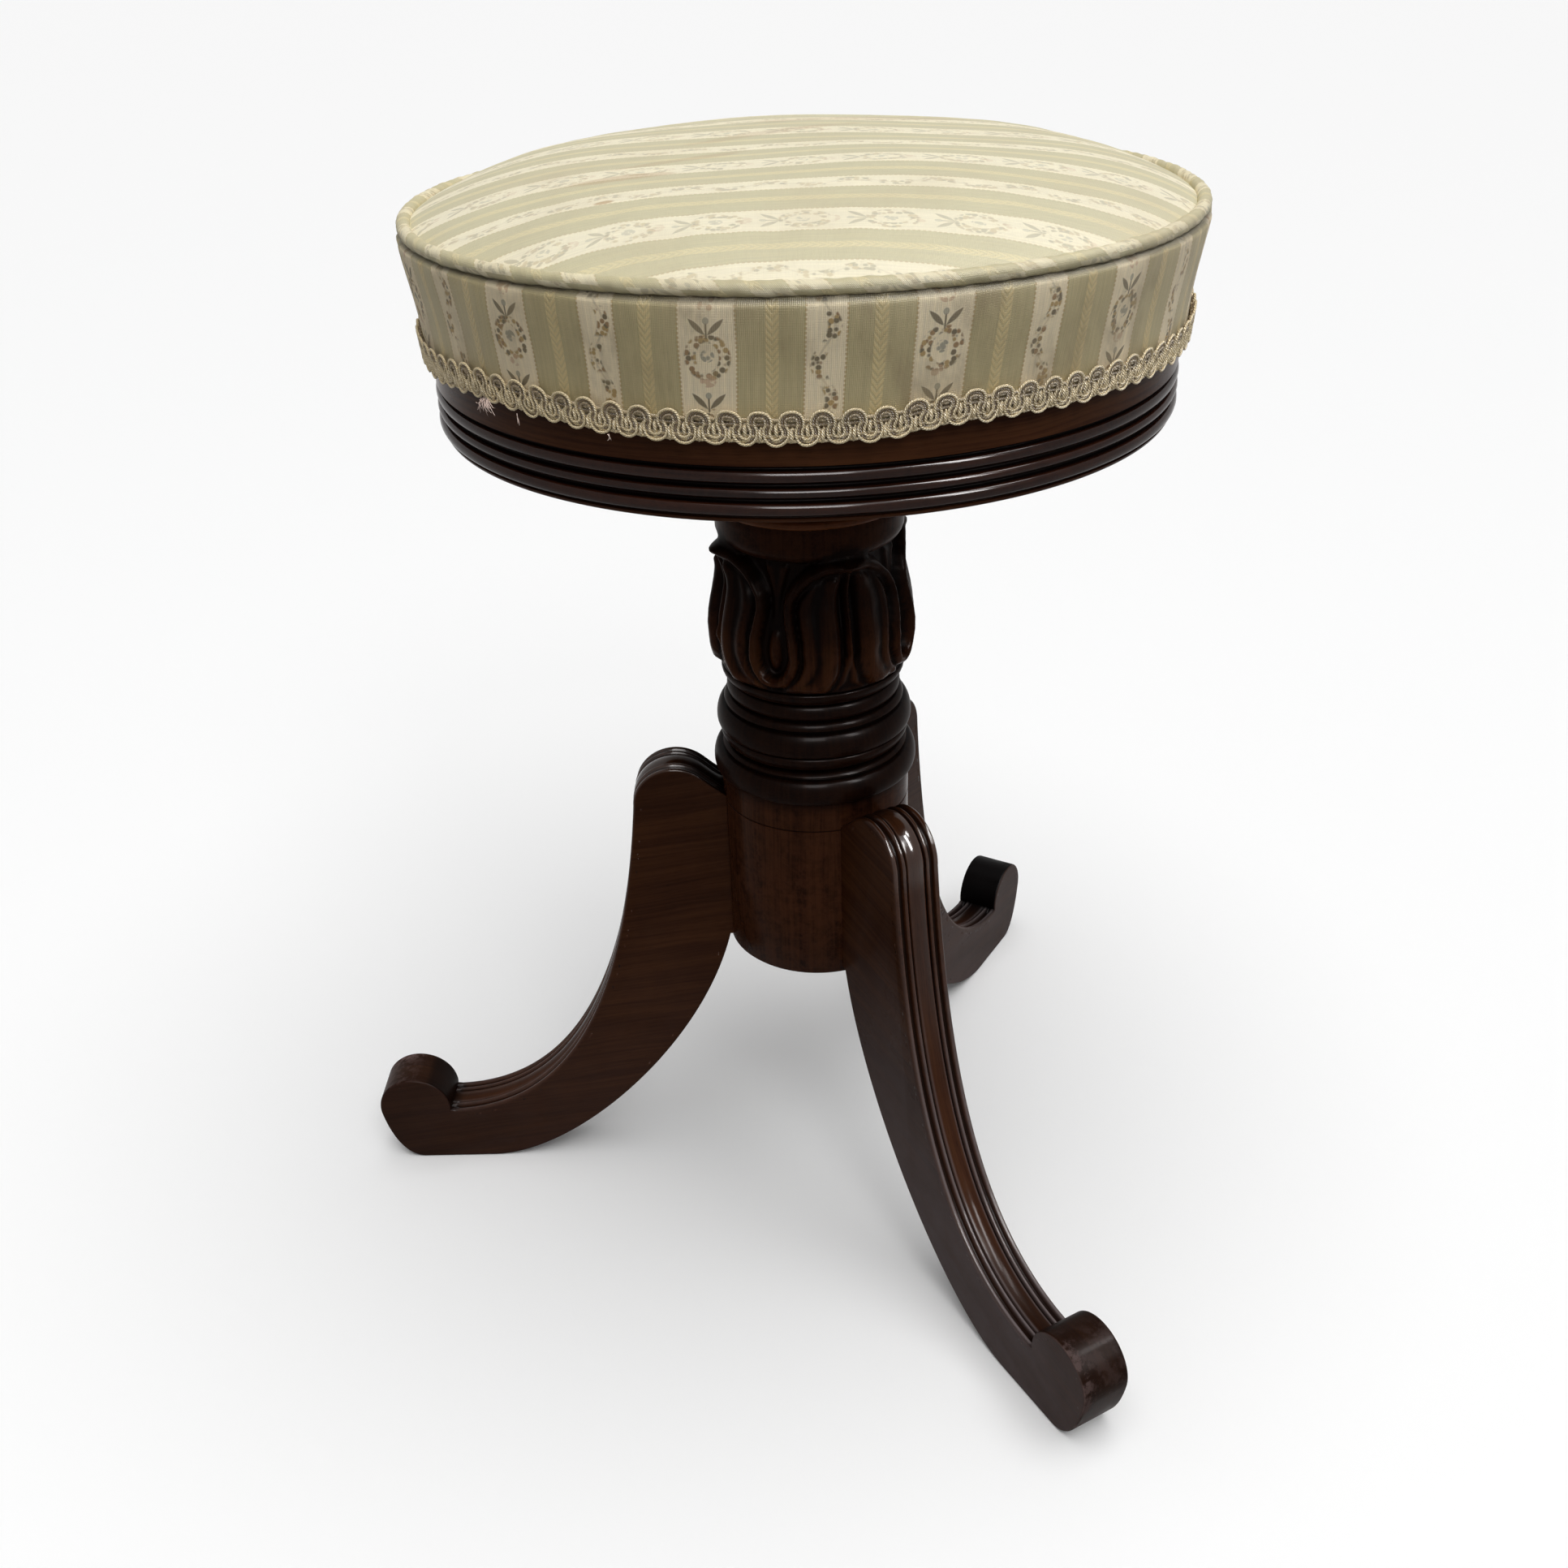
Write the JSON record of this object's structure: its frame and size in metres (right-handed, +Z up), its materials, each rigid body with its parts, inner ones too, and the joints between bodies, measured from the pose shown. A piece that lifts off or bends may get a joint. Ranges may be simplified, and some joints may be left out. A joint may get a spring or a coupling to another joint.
{
  "type": "revolving piano stool",
  "caption": "Round upholstered screw-height piano stool: reeded rim, leaf-carved column, splayed reeded legs with scroll toes.",
  "frame": {"origin": "on the floor, under the centre of the whole stool's box; the column's axis stands 38.0 mm further in +X", "axes": "+Z up along the column; -X towards the toe of the left leg; -Y towards the viewer of the picture, with the front leg between -Y and +X"},
  "size_m": [0.3918, 0.4164, 0.506],
  "materials": {
    "polished_wood": "dark red-brown polished hardwood with a worn french polish",
    "board_wood": "plain sawn beech, unpolished",
    "iron": "dark wrought iron",
    "steel": "oiled steel",
    "brass": "aged brass",
    "brocade": "woven stripe brocade in cream and sage, with small sprigs",
    "gimp": "twisted gold-beige gimp braid",
    "stuffing": "horsehair stuffing under calico"
  },
  "bodies": {
    "stand": {"column": "polished_wood", "leg_left": "polished_wood", "leg_front": "polished_wood", "leg_back": "polished_wood", "base_plate": "iron", "base_plate_screw_1": "steel", "base_plate_screw_2": "steel", "base_plate_screw_3": "steel", "screw_nut": "brass", "nut_screw_1": "steel", "nut_screw_2": "steel", "nut_screw_3": "steel"},
    "screw_stop": {"stop_washer": "iron"},
    "seat": {"seat_screw": "steel", "stop_screw": "steel", "screw_plate": "iron", "plate_screw_1": "steel", "plate_screw_2": "steel", "plate_screw_3": "steel", "plate_screw_4": "steel", "seat_boss": "polished_wood", "seat_rim": "polished_wood", "seat_board": "board_wood", "board_screw_1": "steel", "board_screw_2": "steel", "board_screw_3": "steel", "board_screw_4": "steel", "seat_stuffing": "stuffing", "top_cover": "brocade", "side_border": "brocade", "piping": "brocade", "gimp_braid": "gimp"}
  },
  "joints": [
    {"name": "seat_rise", "type": "slide", "parent": "stand", "child": "screw_stop", "axis": [0, 0, 1], "range_m": [0, 0.09]},
    {"name": "seat_turn", "type": "hinge", "parent": "screw_stop", "child": "seat", "pos_m": [0.038, 0, 0.22], "axis": [0, 0, 1], "range_deg": [0, 4050]}
  ],
  "couplings": [
    {"joint": "seat_rise", "follows": "seat_turn", "m_per_rad": 0.0012732}
  ]
}
